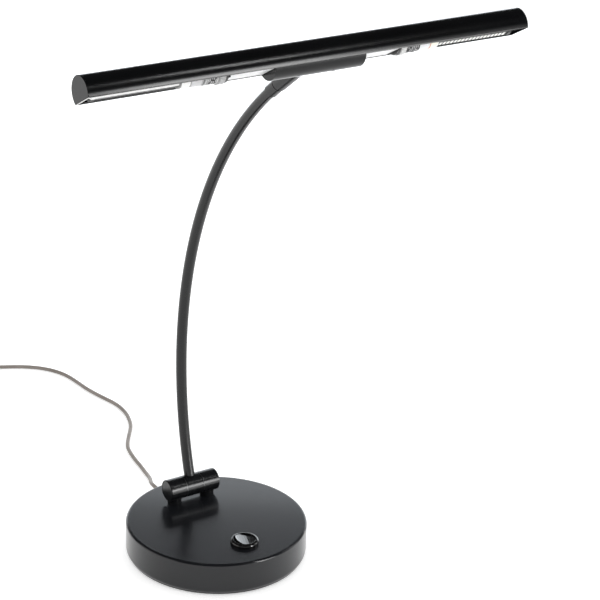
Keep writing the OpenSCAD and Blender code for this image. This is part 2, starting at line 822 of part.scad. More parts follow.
// Twin wire through the tube, stopping short of the joint at each end
module arm_wires() {
    wire_r = 1.2;
    color([0.3, 0.3, 0.3]) for (s = [-1, 1])
        along_bend(tube_start + 0.3, arm_sweep - 1.2)
            translate([wire_r - tube_bore + 0.4, s * (wire_r + fit)]) circle(wire_r, $fn = 24);
}

module arm_collar() {
    color([0.06, 0.06, 0.065]) {
        difference() {
            union() {
                along_bend(arm_sweep - collar_angle, arm_sweep) circle(collar_r);
                on_neck() translate([0, 0, collar_end])
                    cylinder(r = collar_r - 0.5, h = neck_len + gap - collar_end);
            }
            along_bend(arm_sweep - collar_angle - 0.2, arm_sweep) circle(tube_r + fit);
            on_neck() translate([0, 0, collar_end - over])
                cylinder(r = stud_r + fit, h = 2 * over + neck_len - collar_end);
        }
    }
}

module swivel_stud() {
    color([0.65, 0.65, 0.67]) on_neck() difference() {
        translate([0, 0, stud_top]) cylinder(r = stud_r, h = stud_foot - stud_top);
        translate([0, 0, stud_top - over])
            cylinder(r = nipple_bore - 0.4, h = stud_foot - stud_top + 2 * over);
    }
}

module swivel_nut() {
    color([0.7, 0.7, 0.72]) on_neck() difference() {
        translate([0, 0, stud_top + over]) hex_bar(2 * stud_r + 1.6, swivel_nut_h);
        translate([0, 0, stud_top]) cylinder(r = stud_r + fit, h = swivel_nut_h + 2 * over);
    }
}

// ---- Neck ----

module neck_sleeve() {
    edge = 0.6;
    chamber_r = stud_r + 1.9;
    shoulder = stud_top + over + swivel_nut_h + 0.1;
    color([0.06, 0.06, 0.065]) on_neck() difference() {
        rotate_extrude() polygon([
            [0, sleeve_top], [sleeve_r - edge, sleeve_top], [sleeve_r, sleeve_top + edge],
            [sleeve_r, sleeve_end - edge], [sleeve_r - edge, sleeve_end], [0, sleeve_end]
        ]);
        translate([0, 0, sleeve_top - over]) cylinder(r = nipple_r + fit, h = nipple_foot + over - sleeve_top);
        translate([0, 0, nipple_foot - over]) cylinder(r = nipple_bore + 0.6, h = sleeve_end - nipple_foot);
        translate([0, 0, shoulder - nut_chamber]) cylinder(r = chamber_r, h = nut_chamber);
        translate([0, 0, shoulder - over]) cylinder(r = stud_r + run, h = sleeve_end - shoulder + 2 * over);
    }
}

module neck_nipple() {
    color([0.6, 0.6, 0.62]) on_neck() difference() {
        translate([0, 0, nipple_tip]) cylinder(r = nipple_r, h = nipple_foot - nipple_tip);
        translate([0, 0, nipple_tip - over])
            cylinder(r = nipple_bore, h = nipple_foot - nipple_tip + 2 * over);
    }
}

module tilt_hub() {
    color([0.35, 0.35, 0.37]) difference() {
        translate([0, shade_y, shade_z]) rod_x(hub_r, -hub_half, hub_half);
        translate([0, shade_y, shade_z]) rod_x(tilt_pin_r + run, -hub_half - over, hub_half + over);
        on_neck() translate([0, 0, nipple_tip]) cylinder(r = nipple_r + fit, h = 2 * hub_r);
    }
}

// ---- Shade ----

// Frame on the shade's axis with the mouth straight down
module on_shade() {
    translate([0, shade_y, shade_z]) rotate([-shade_turn, 0, 0]) children();
}

// Wedge in (Y, Z) from angle a0 to angle a1
module wedge(a0, a1) {
    reach = 4 * shade_r;
    mid = (a0 + a1) / 2;
    polygon([
        [0, 0], reach * [cos(a0), sin(a0)], reach * [cos(mid), sin(mid)],
        reach * [cos(a1), sin(a1)]
    ]);
}

// Flat shape within the shade that ends at a chord above its mouth
module above_chord(r, z) {
    intersection() {
        circle(r);
        translate([-2 * r, z]) square([4 * r, 3 * r]);
    }
}

// Slot for the nipple, wide enough for its whole tilt
module nipple_slot() {
    from = neck_local - shade_tilt - slot_end;
    to = neck_local + shade_tilt + slot_end;
    along_x(-slot_half, slot_half) wedge(from, to);
}

module shade_shell() {
    end_x = shade_half - end_cap_t;
    bead_turn = asin((bead_r + 0.1) / shade_r);
    color([0.05, 0.05, 0.055]) on_shade() difference() {
        union() {
            along_x(-end_x, end_x) difference() {
                circle(shade_r);
                circle(inner_r);
                wedge(-180 - lip, lip);
            }
            along_x(-end_x, end_x) for (s = [-1, 1])
                rotate(s > 0 ? lip + bead_turn : -180 - lip - bead_turn)
                    translate([shade_r - bead_r, 0]) circle(bead_r);
        }
        nipple_slot();
    }
}

module end_cap() {
    end_x = shade_half - end_cap_t;
    edge = 0.4;
    plug_l = 4;
    plug_wall = 1.4;
    color([0.05, 0.05, 0.055]) on_shade() {
        intersection() {
            turned_x() polygon([
                [0, end_x], [shade_r, end_x], [shade_r, shade_half - edge],
                [shade_r - edge, shade_half], [0, shade_half]
            ]);
            along_x(end_x - over, shade_half + over) above_chord(2 * shade_r, chord_z);
        }
        along_x(end_x - plug_l, end_x) difference() {
            above_chord(inner_r - fit, chord_z + 2 * bead_r + 0.8);
            above_chord(inner_r - plug_wall, chord_z + 2 * bead_r + 0.8 + plug_wall);
        }
    }
}

module end_cap_left() {
    mirror([1, 0, 0]) end_cap();
}

module end_cap_right() {
    end_cap();
}

module centre_cover() {
    edge_gap = 0.6;
    color([0.05, 0.05, 0.055]) on_shade() difference() {
        union() {
            along_x(-cover_half, cover_half) intersection() {
                difference() {
                    circle(shade_r);
                    circle(inner_r);
                }
                wedge(-180 - lip + edge_gap, lip - edge_gap);
            }
            both_sides() along_x(cover_half - shade_wall, cover_half) difference() {
                intersection() {
                    circle(inner_r + join);
                    wedge(-180 - lip + edge_gap, lip - edge_gap);
                }
                translate([-2 * shade_r, chord_z]) square([4 * shade_r, 2 * shade_r]);
            }
        }
        nipple_slot();
        both_sides() translate([cover_screw_x, 0, -2 * shade_r])
            cylinder(r = cover_screw_r + 4 * fit, h = 2 * shade_r);
    }
}

module cover_screws() {
    head_r = 2.4;
    color([0.1, 0.1, 0.1]) on_shade() both_sides()
        translate([cover_screw_x, 0, -shade_r]) difference() {
            union() {
                translate([0, 0, -0.1]) cylinder(r = cover_screw_r, h = shade_r - tab_z + 2.6);
                intersection() {
                    translate([0, 0, -0.9]) cylinder(r = head_r, h = 0.9);
                    translate([0, 0, 3.2]) sphere(r = 4.1);
                }
            }
            translate([-0.3, -head_r, -1.2]) cube([0.6, 2 * head_r, 0.5]);
        }
}

module carrier_bar() {
    hole_pitch = 15;
    hole_r = 2.2;
    color([0.6, 0.6, 0.62]) on_shade() difference() {
        translate([-holder_x - left_shift, -bar_half_w, bar_z])
            cube([2 * holder_x + left_shift, 2 * bar_half_w, bar_t]);
        for (i = [2:5]) both_sides() translate([i * hole_pitch, 0, bar_z - over])
            cylinder(r = hole_r, h = bar_t + 2 * over);
    }
}

module tilt_brackets() {
    tab_w = 4.6;
    tab_t = 1.5;
    color([0.6, 0.6, 0.62]) on_shade() both_sides() difference() {
        union() {
            along_x(bracket_x, bracket_x + bracket_t) intersection() {
                circle(bracket_r);
                translate([-bracket_r, -tab_z]) square([2 * bracket_r, bar_z + tab_z]);
            }
            translate([bracket_x, -tab_w, -tab_z]) cube([bracket_t + 2 * tab_x, 2 * tab_w, tab_t]);
        }
        rod_x(tilt_pin_r + fit, 0, 2 * bracket_x + bracket_t);
        translate([cover_screw_x, 0, -tab_z - over])
            cylinder(r = cover_screw_r + fit, h = tab_t + 2 * over);
        translate([0, 8, 4]) rod_x(2, 0, 2 * bracket_x + bracket_t);
    }
}

module tilt_pin() {
    color([0.7, 0.7, 0.72]) on_shade() rod_x(tilt_pin_r, -tilt_pin_half, tilt_pin_half);
}

module tilt_nuts() {
    color([0.7, 0.7, 0.72]) on_shade() both_sides() difference() {
        translate([bracket_x + bracket_t, 0, 0]) rotate([0, 90, 0])
            hex_bar(1.6 * 2 * tilt_pin_r, nut_h + over);
        rod_x(tilt_pin_r + fit, 0, 2 * tilt_pin_half);
    }
}

module tilt_washers() {
    color([0.8, 0.8, 0.82]) on_shade() both_sides() difference() {
        rod_x(hub_r - 0.5, hub_half + run, bracket_x);
        rod_x(tilt_pin_r + fit, 0, 2 * bracket_x);
    }
}

// White cover over the wires between the centre cover and the lamp holder
module wiring_cover(to_x) {
    wall = 1;
    half_w = inner_r * cos(lip) - 2 * bead_r + 0.9;
    side_h = 5;
    low_z = chord_z + 0.5;
    color([0.9, 0.9, 0.88]) on_shade() along_x(cover_half + gap, to_x) {
        translate([-half_w, low_z]) square([2 * half_w, wall]);
        for (s = [-1, 1]) translate([s * (half_w - wall / 2) - wall / 2, low_z])
            square([wall, side_h]);
    }
}

module wiring_cover_left() {
    mirror([1, 0, 0]) wiring_cover(bracket_back + left_shift - fit);
}

module wiring_cover_right() {
    wiring_cover(bracket_back - fit);
}

module holder_brackets() {
    low_z = chord_z - 0.6;
    color([0.08, 0.08, 0.08]) on_shade() both_lamps()
        along_x(bracket_back, holder_x) difference() {
            translate([-bar_half_w, low_z]) square([2 * bar_half_w, bar_z - low_z]);
            circle(wire_hole_r);
        }
}

// ---- Lamps ----

module lamp_holder() {
    thread_from = ring_x + ring_w + 0.6;
    pitch = 2.1;
    threads = floor((holder_end - thread_from) / pitch);
    thread_h = 0.5;
    wire_floor_t = 4.5;
    color([0.12, 0.12, 0.12]) on_shade() difference() {
        union() {
            rod_x(holder_r - thread_h, holder_x, holder_end);
            rod_x(holder_ring_r, ring_x, ring_x + ring_w);
            rod_x(holder_ring_r - 0.6, holder_x, ring_x - 0.8);
            turned_x() for (i = [0:threads - 1])
                translate([holder_r - thread_h, thread_from + (i + 0.5) * pitch]) circle(thread_h);
        }
        rod_x(lamp_cap_r + gap, socket_floor, holder_end + over);
        rod_x(wire_hole_r, holder_x - over, socket_floor - wire_floor_t);
    }
}

module lamp_holder_left() {
    on_left_lamp() lamp_holder();
}

module lamp_holder_right() {
    lamp_holder();
}

module lamp_caps() {
    cap_from = socket_floor + cap_tip;
    cap_l = holder_end - cap_from;
    pitch = 2.8;
    groove = 0.45;
    color([0.75, 0.74, 0.7]) on_shade() both_lamps() {
        turned_x() difference() {
            translate([0, cap_from]) square([lamp_cap_r, cap_l]);
            for (x = [cap_from + pitch:pitch:cap_from + cap_l - pitch])
                translate([lamp_cap_r + 0.2, x]) circle(groove + 0.2);
        }
        rod_x(2.2, socket_floor, cap_from);
    }
}

module lamp_housing() {
    from = holder_end + gap;
    shoulder = 1.2;
    seam_x = from + 0.55 * housing_len;
    color([0.93, 0.92, 0.9]) on_shade() turned_x() {
        polygon([
            [0, holder_end], [lamp_cap_r - 0.4, holder_end], [lamp_cap_r - 0.4, from],
            [housing_r - shoulder, from], [housing_r, from + shoulder],
            [housing_r, seam_x - 0.4], [housing_r - 0.5, seam_x], [housing_r, seam_x + 0.4],
            [housing_r - 0.3, housing_end - shoulder], [housing_r - 0.3 - shoulder, housing_end],
            [0, housing_end]
        ]);
    }
}

module lamp_housing_left() {
    on_left_lamp() lamp_housing();
}

module lamp_housing_right() {
    lamp_housing();
}

// Eight-sided light stick, turned about its own axis
module led_stick(turn) {
    color([0.08, 0.08, 0.08]) on_shade() {
        rotate([-turn, 0, 0]) translate([housing_end, 0, 0]) rotate([0, 90, 0])
            rotate([0, 0, 22.5]) cylinder(r = stick_r, h = stick_len, $fn = 8);
        turned_x() polygon([
            [0, stick_end], [stick_r + chip_t, stick_end], [stick_r + chip_t, stick_end + tip_len - 1],
            [stick_r + chip_t - 1, stick_end + tip_len], [0, stick_end + tip_len]
        ]);
    }
}

module led_stick_left() {
    on_left_lamp() led_stick(left_turn);
}

module led_stick_right() {
    led_stick(right_turn);
}

// Three rows of chips on neighbouring sides of a light stick
module chip_rows(turn) {
    first_x = housing_end + (stick_len - chips_per_row * chip_pitch + chip_pitch - chip_l) / 2;
    for (row = [-135:45:-45], i = [0:chips_per_row - 1]) rotate([row - turn, 0, 0])
        translate([first_x + i * chip_pitch, stick_flat, -chip_w / 2])
            cube([chip_l, chip_t, chip_w]);
}

module led_chips() {
    color([0.95, 0.9, 0.6]) on_shade() {
        chip_rows(right_turn);
        on_left_lamp() chip_rows(left_turn);
    }
}

// ---- Mains lead ----

module cord_run() {
    color([0.6, 0.57, 0.54]) swept_tube(run_route, lead_r, 8);
}

module cord_coil() {
    color([0.6, 0.57, 0.54]) swept_tube(coil_route, lead_r, 6);
}

module cord_tie() {
    tie_turn = 270;
    angle = coil_start_angle + tie_turn;
    low_r = coil_in_r - lead_r - 0.5;
    high_r = coil_out_r - coil_pitch / 2 + lead_r + 0.5;
    low_z = tie_t;
    high_z = coil_start[2] + coil_pitch + lead_r + 0.3;
    corner = 1.2;
    color([0.05, 0.05, 0.05])
        translate([coil_centre[0], coil_centre[1], 0]) rotate([0, 0, angle])
            rotate([90, 0, 0]) translate([0, 0, -tie_w / 2]) linear_extrude(tie_w) difference() {
                rounded_box(low_r - tie_t, high_r + tie_t, 0, high_z + tie_t, corner);
                rounded_box(low_r, high_r, low_z, high_z, corner - tie_t);
            }
}

// Rectangle from (x0, z0) to (x1, z1) with round corners
module rounded_box(x0, x1, z0, z1, r) {
    translate([x0 + r, z0]) square([x1 - x0 - 2 * r, z1 - z0]);
    translate([x0, z0 + r]) square([x1 - x0, z1 - z0 - 2 * r]);
    for (x = [x0 + r, x1 - r], z = [z0 + r, z1 - r]) translate([x, z]) circle(r);
}

// Frame of the plug: X along the pins, from where the lead goes in
module on_plug() {
    translate([plug_start[0], plug_start[1], plug_start[2]]) rotate([0, 0, plug_angle]) children();
}

// Flat oval across the plug, half_w wide and half_h high each way
module plug_section(x, half_w, half_h, t) {
    translate([x, 0, 0]) rotate([90, 0, 90]) linear_extrude(t) hull() for (s = [-1, 1])
        translate([s * (half_w - half_h), 0]) circle(half_h, $fn = 24);
}

module plug_body() {
    relief_l = 14;
    color([0.6, 0.57, 0.54]) on_plug() {
        rotate([0, 90, 0]) cylinder(r1 = lead_r + 0.6, r2 = lead_r + 1.8, h = relief_l);
        hull() {
            plug_section(relief_l - 2, lead_r + 2.5, lead_r + 1.4, 0.5);
            plug_section(plug_len - 14, plug_half_w - 1.5, plug_half_h - 0.6, 0.5);
        }
        hull() {
            plug_section(plug_len - 14, plug_half_w - 1.5, plug_half_h - 0.6, 0.5);
            plug_section(plug_len - 0.5, plug_half_w, plug_half_h, 0.5);
        }
        for (s = [-1, 1]) translate([0, s * pin_spread, 0])
            rod_x(pin_r - 0.05, plug_len - over, plug_len + pin_sleeve);
    }
}

module plug_pins() {
    color([0.8, 0.75, 0.6]) on_plug() for (s = [-1, 1]) translate([0, s * pin_spread, 0]) {
        rod_x(pin_r, plug_len + pin_sleeve, plug_len + pin_len - pin_r);
        translate([plug_len + pin_len - pin_r, 0, 0]) sphere(r = pin_r);
    }
}

base_shell();
base_pad();
bottom_plate();
ballast_disc();
centre_bolt();
switch_housing();
switch_contacts();
switch_rocker();
terminal_block();
cord_anchor();
base_wiring();
cord_gland();
strain_relief();
post_left();
post_right();
knuckle_left();
knuckle_right();
post_screws();
post_washers();
hinge_bolt();
hinge_nut();
spring_washers();
hinge_caps();
friction_washers();
knuckle_centre();
tube_setscrew();
arm_tube();
arm_wires();
arm_collar();
swivel_stud();
swivel_nut();
neck_sleeve();
neck_nipple();
tilt_hub();
shade_shell();
end_cap_left();
end_cap_right();
centre_cover();
cover_screws();
carrier_bar();
tilt_brackets();
tilt_pin();
tilt_nuts();
tilt_washers();
wiring_cover_left();
wiring_cover_right();
holder_brackets();
lamp_holder_left();
lamp_holder_right();
lamp_caps();
lamp_housing_left();
lamp_housing_right();
led_stick_left();
led_stick_right();
led_chips();
cord_run();
cord_coil();
cord_tie();
plug_body();
plug_pins();
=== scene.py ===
import bpy
import math
from mathutils import Matrix, Vector


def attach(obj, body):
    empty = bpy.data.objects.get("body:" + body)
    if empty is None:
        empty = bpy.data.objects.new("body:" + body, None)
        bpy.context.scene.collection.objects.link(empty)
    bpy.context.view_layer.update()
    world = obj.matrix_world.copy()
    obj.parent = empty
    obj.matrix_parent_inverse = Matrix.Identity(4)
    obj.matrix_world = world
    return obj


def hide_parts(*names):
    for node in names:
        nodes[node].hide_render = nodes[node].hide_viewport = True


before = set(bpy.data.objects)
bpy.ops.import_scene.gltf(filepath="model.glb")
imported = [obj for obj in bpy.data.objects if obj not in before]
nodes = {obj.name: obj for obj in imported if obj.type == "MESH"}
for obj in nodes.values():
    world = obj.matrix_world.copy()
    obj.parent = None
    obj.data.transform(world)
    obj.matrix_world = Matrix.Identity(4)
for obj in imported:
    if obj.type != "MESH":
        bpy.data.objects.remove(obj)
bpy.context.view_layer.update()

scene = bpy.context.scene
print("loaded", len(nodes), "nodes")

# camera, set from the picture's view
view = {
    "turn": -33.675,       # degrees round the lamp, 0 looks along +Y
    "height": 23.547,      # degrees above the table
    "roll": 2.129,
    "distance": 2.260035,
    "aimSide": 0.079239,   # where it aims, sideways and up
    "aimUp": 0.304674,
    "lens": 128.385,
    "shiftX": 0.00604,
    "shiftY": 0.0017,
    "sensor": 36,
    "farthest": 30,
}


def makeCamera():
    turn, height, roll = (math.radians(view[k]) for k in ("turn", "height", "roll"))
    back = Vector((math.sin(turn) * math.cos(height), -math.cos(turn) * math.cos(height),
                   math.sin(height)))
    side = Vector((math.cos(turn), math.sin(turn), 0))
    up = back.cross(side)
    rolledSide = side * math.cos(roll) + up * math.sin(roll)
    rolledUp = up * math.cos(roll) - side * math.sin(roll)
    place = side * view["aimSide"] + Vector((0, 0, view["aimUp"])) + back * view["distance"]
    data = bpy.data.cameras.new("photoCamera")
    data.sensor_fit = "HORIZONTAL"
    data.sensor_width = view["sensor"]
    data.lens = view["lens"]
    data.shift_x = view["shiftX"]
    data.shift_y = view["shiftY"]
    data.clip_end = view["farthest"]
    camera = bpy.data.objects.new("photoCamera", data)
    turned = Matrix((rolledSide, rolledUp, back)).transposed().to_4x4()
    camera.matrix_world = Matrix.Translation(place) @ turned
    scene.collection.objects.link(camera)
    scene.camera = camera


makeCamera()
print("camera set")

# mains lead: from the strain relief over the table to the coil and the plug
lead = {
    "diameter": 0.0046,
    "coilTurns": 3.625,
    "coilStep": 0.0051,    # from one turn to the next
    "coilMiddle": 0.0276,  # radius at the middle of the turns
    "tail": 0.020,         # from the coil to the plug
    "plugMiddle": 0.0068,  # height of the plug's middle
    "perTurn": 24,         # points in each turn of the coil
    "steps": 3,            # points between two of the route, to smooth it
    "run": [
        (0, 0.13, 0.013), (0, 0.136, 0.013), (0.0005, 0.143, 0.0126), (0.0025, 0.151, 0.011),
        (0.006, 0.159, 0.0088), (0.01, 0.167, 0.0062), (0.0135, 0.176, 0.0042),
        (0.016, 0.186, 0.0029), (0.018, 0.197, 0.0024), (0.02, 0.209, 0.0024),
        (0.0215, 0.221, 0.0024), (0.0235, 0.233, 0.0024), (0.026, 0.245, 0.0024),
        (0.0295, 0.257, 0.0024), (0.035, 0.268, 0.0024), (0.042, 0.279, 0.0024),
        (0.0495, 0.29, 0.0024), (0.057, 0.301, 0.0024), (0.063, 0.312, 0.0024),
        (0.0675, 0.324, 0.0024), (0.071, 0.336, 0.0024), (0.073, 0.349, 0.0024),
        (0.0735, 0.362, 0.0024), (0.072, 0.375, 0.0024), (0.069, 0.388, 0.0024),
        (0.066, 0.401, 0.0024), (0.0635, 0.414, 0.0024), (0.0615, 0.427, 0.0024),
        (0.0605, 0.44, 0.0024), (0.0595, 0.453, 0.0024), (0.058, 0.466, 0.0024),
        (0.055, 0.479, 0.0024), (0.05, 0.491, 0.0024), (0.043, 0.502, 0.0024),
        (0.034, 0.512, 0.0024), (0.0235, 0.5205, 0.0024), (0.012, 0.5275, 0.0024),
        (0, 0.5335, 0.0024), (-0.012, 0.5395, 0.0024), (-0.024, 0.5455, 0.0026),
        (-0.036, 0.5515, 0.003), (-0.046, 0.5565, 0.0034), (-0.054, 0.5605, 0.0034),
    ],
}


def leadRoute():
    run = [Vector(p) for p in lead["run"]]
    heading = (run[-1] - run[-2]).normalized()
    outer = lead["coilMiddle"] + lead["coilTurns"] * lead["coilStep"] / 2
    inner = lead["coilMiddle"] - lead["coilTurns"] * lead["coilStep"] / 2
    centre = run[-1] + Vector((-heading.y, heading.x, 0)) * outer
    startAngle = math.atan2(heading.y, heading.x) - math.pi / 2
    turnBack = 2 * math.pi * lead["coilTurns"]
    coil = []
    for i in range(1, round(2 * lead["coilTurns"] * lead["perTurn"]) + 1):
        a = 2 * math.pi * i / lead["perTurn"]
        radius = inner + lead["coilStep"] * abs(a - turnBack) / (2 * math.pi)
        climb = min(max((a - turnBack + math.pi / 2) / math.pi, 0), 1)
        coil.append(Vector((
            centre.x + radius * math.cos(startAngle + a),
            centre.y + radius * math.sin(startAngle + a),
            run[-1].z + lead["coilStep"] * climb,
        )))
    away = startAngle + 2 * turnBack + math.pi / 2
    along = Vector((math.cos(away), math.sin(away), 0)) * lead["tail"]
    drop = Vector((0, 0, lead["plugMiddle"] - coil[-1].z))
    tail = [coil[-1] + (along + drop) * s for s in (0.3, 0.65, 1)]
    return run + coil + tail


def smoothed(points, steps):
    made = []
    for i in range(len(points) - 1):
        a, b = points[max(i - 1, 0)], points[i]
        c, d = points[i + 1], points[min(i + 2, len(points) - 1)]
        for k in range(steps):
            t = k / steps
            made.append(0.5 * (2 * b + (c - a) * t + (2 * a - 5 * b + 4 * c - d) * t * t
                               + (3 * b - 3 * c + d - a) * t ** 3))
    return made + [points[-1]]


def makeLead():
    points = smoothed(leadRoute(), lead["steps"])
    curve = bpy.data.curves.new("mainsLead", "CURVE")
    curve.dimensions = "3D"
    curve.bevel_depth = 1  # the points' radius is the lead's own
    curve.bevel_resolution = 5
    curve.use_fill_caps = True
    spline = curve.splines.new("POLY")
    spline.points.add(len(points) - 1)
    for point, p in zip(spline.points, points):
        point.co = (*p, 1)
        point.radius = lead["diameter"] / 2
    spline.use_smooth = True
    piece = bpy.data.objects.new("mainsLead", curve)
    scene.collection.objects.link(piece)
    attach(piece, "base")
    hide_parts("cord_run", "cord_coil")
    return piece


mainsLead = makeLead()


# small helpers for the finishes
def link(tree, source, target):
    tree.links.new(source, target)


def addNode(tree, kind, place=(0, 0), **values):
    made = tree.nodes.new(kind)
    made.location = place
    for name, value in values.items():
        setattr(made, name, value)
    return made


def math1(tree, operation, a, b=None):
    step = addNode(tree, "ShaderNodeMath", (-600, -100), operation=operation)
    for socket, value in zip(step.inputs, (a, b)):
        if value is None:
            continue
        if isinstance(value, (int, float)):
            socket.default_value = value
        else:
            link(tree, value, socket)
    return step.outputs[0]


def noise(tree, scale, detail=3, rough=0.5, stretch=(1, 1, 1)):
    where = addNode(tree, "ShaderNodeTexCoord", (-1100, 0))
    mapping = addNode(tree, "ShaderNodeMapping", (-900, 0))
    mapping.inputs["Scale"].default_value = stretch
    link(tree, where.outputs["Object"], mapping.inputs["Vector"])
    made = addNode(tree, "ShaderNodeTexNoise", (-700, 0))
    made.inputs["Scale"].default_value = scale
    made.inputs["Detail"].default_value = detail
    made.inputs["Roughness"].default_value = rough
    link(tree, mapping.outputs["Vector"], made.inputs["Vector"])
    return made.outputs["Fac"]


def between(tree, value, low, high, start=0.3, end=0.7):
    ramp = addNode(tree, "ShaderNodeMapRange", (-450, 0))
    ramp.inputs["From Min"].default_value = start
    ramp.inputs["From Max"].default_value = end
    ramp.inputs["To Min"].default_value = low
    ramp.inputs["To Max"].default_value = high
    link(tree, value, ramp.inputs["Value"])
    return ramp.outputs["Result"]


def colours(tree, value, low, high):
    ramp = addNode(tree, "ShaderNodeValToRGB", (-450, 250))
    ramp.color_ramp.elements[0].position = 0.3
    ramp.color_ramp.elements[0].color = (*low, 1)
    ramp.color_ramp.elements[1].position = 0.7
    ramp.color_ramp.elements[1].color = (*high, 1)
    link(tree, value, ramp.inputs["Fac"])
    return ramp.outputs["Color"]


def mixed(tree, share, first, second, blend="MIX"):
    mix = addNode(tree, "ShaderNodeMix", (-250, 250), data_type="RGBA", blend_type=blend)
    for socket, value in ((mix.inputs[0], share), (mix.inputs[6], first), (mix.inputs[7], second)):
        if isinstance(value, (int, float)):
            socket.default_value = value
        elif isinstance(value, tuple):
            socket.default_value = (*value, 1)
        else:
            link(tree, value, socket)
    return mix.outputs[2]


def bumped(tree, shader, value, strength, depth, edge=0):
    bump = addNode(tree, "ShaderNodeBump", (-200, -250))
    bump.inputs["Strength"].default_value = strength
    bump.inputs["Distance"].default_value = depth
    link(tree, value, bump.inputs["Height"])
    if edge:
        softened = addNode(tree, "ShaderNodeBevel", (-450, -400), samples=4)
        softened.inputs["Radius"].default_value = edge
        link(tree, softened.outputs["Normal"], bump.inputs["Normal"])
    link(tree, bump.outputs["Normal"], shader.inputs["Normal"])


def finish(name, dark, light, roughLow, roughHigh, grain, bump=0.1, depth=0.00005,
           metal=0.0, shine=0.5, patch=18, stretch=(1, 1, 1), coat=0.0, coatRough=0.1, edge=0):
    material = bpy.data.materials.new(name)
    material.use_nodes = True
    tree = material.node_tree
    shader = tree.nodes["Principled BSDF"]
    broad = noise(tree, patch, 3, 0.55, stretch)
    fine = noise(tree, grain, 4, 0.6, stretch)
    link(tree, colours(tree, broad, dark, light), shader.inputs["Base Color"])
    link(tree, between(tree, fine, roughLow, roughHigh), shader.inputs["Roughness"])
    bumped(tree, shader, fine, bump, depth, edge)
    shader.inputs["Metallic"].default_value = metal
    shader.inputs["Specular IOR Level"].default_value = shine
    shader.inputs["Coat Weight"].default_value = coat
    shader.inputs["Coat Roughness"].default_value = coatRough
    return material


# finishes: dark and light colour, roughness range, grain in noise scale per metre
finishes = {
    "basePaint": dict(dark=(0.0045, 0.005, 0.0062), light=(0.0085, 0.0092, 0.0112), roughLow=0.2,
                      roughHigh=0.28, grain=2600, bump=0.1, shine=0.28, patch=14, coat=0.35,
                      coatRough=0.08, edge=0.0008),
    "hingePaint": dict(dark=(0.003, 0.0033, 0.0038), light=(0.006, 0.0064, 0.0074), roughLow=0.22,
                       roughHigh=0.3, grain=2400, bump=0.12, shine=0.4, patch=30, edge=0.0003),
    "armPaint": dict(dark=(0.0022, 0.0024, 0.0026), light=(0.0044, 0.0046, 0.005), roughLow=0.2,
                     roughHigh=0.3, grain=2400, bump=0.14, shine=0.42, patch=25, edge=0.0003),
    "shadePaint": dict(dark=(0.0018, 0.002, 0.0024), light=(0.0032, 0.0035, 0.0041), roughLow=0.17,
                       roughHigh=0.24, grain=2200, bump=0.1, shine=0.26, patch=16, edge=0.0003),
    "switchGloss": dict(dark=(0.003, 0.003, 0.0032), light=(0.006, 0.006, 0.0066), roughLow=0.08,
                        roughHigh=0.14, grain=900, bump=0.04, shine=0.5, patch=60, coat=0.6,
                        edge=0.0003),
    "mattePlastic": dict(dark=(0.012, 0.012, 0.013), light=(0.022, 0.022, 0.023), roughLow=0.5,
                         roughHigh=0.65, grain=1800, bump=0.2, shine=0.35, patch=60),
    "rubberBlack": dict(dark=(0.008, 0.008, 0.008), light=(0.016, 0.016, 0.016), roughLow=0.65,
                        roughHigh=0.8, grain=1500, bump=0.25, shine=0.25, patch=40),
    "whitePlastic": dict(dark=(0.84, 0.845, 0.85), light=(0.92, 0.92, 0.92), roughLow=0.35,
                         roughHigh=0.5, grain=1500, bump=0.08, shine=0.4, patch=40),
    "zincSteel": dict(dark=(0.42, 0.43, 0.45), light=(0.6, 0.6, 0.62), roughLow=0.3,
                      roughHigh=0.45, grain=1400, bump=0.15, metal=1.0, patch=50),
    "brightSteel": dict(dark=(0.68, 0.69, 0.7), light=(0.82, 0.82, 0.83), roughLow=0.14,
                        roughHigh=0.24, grain=1600, bump=0.08, metal=1.0, patch=60),
    # the friction washers' steel is kept dark as painted shade for the grooves between the knuckles
    "washerSteelShaded": dict(dark=(0.08, 0.08, 0.085), light=(0.16, 0.16, 0.165), roughLow=0.28,
                        roughHigh=0.4, grain=1600, bump=0.12, metal=1.0, patch=80),
    "castIron": dict(dark=(0.05, 0.05, 0.052), light=(0.12, 0.12, 0.125), roughLow=0.55,
                     roughHigh=0.75, grain=900, bump=0.5, depth=0.0002, metal=0.7, patch=40),
    "contactBrass": dict(dark=(0.5, 0.36, 0.14), light=(0.68, 0.52, 0.24), roughLow=0.22,
                         roughHigh=0.36, grain=1500, bump=0.1, metal=1.0, patch=70),
    "leadSheath": dict(dark=(0.2, 0.175, 0.155), light=(0.27, 0.24, 0.215), roughLow=0.36,
                       roughHigh=0.5, grain=1200, bump=0.15, shine=0.4, patch=30),
    "chipPhosphor": dict(dark=(0.93, 0.92, 0.88), light=(0.98, 0.98, 0.95), roughLow=0.25,
                         roughHigh=0.4, grain=2000, bump=0.05, shine=0.5, patch=400),
}
made = {name: finish(name, **values) for name, values in finishes.items()}
print("finishes", len(made))

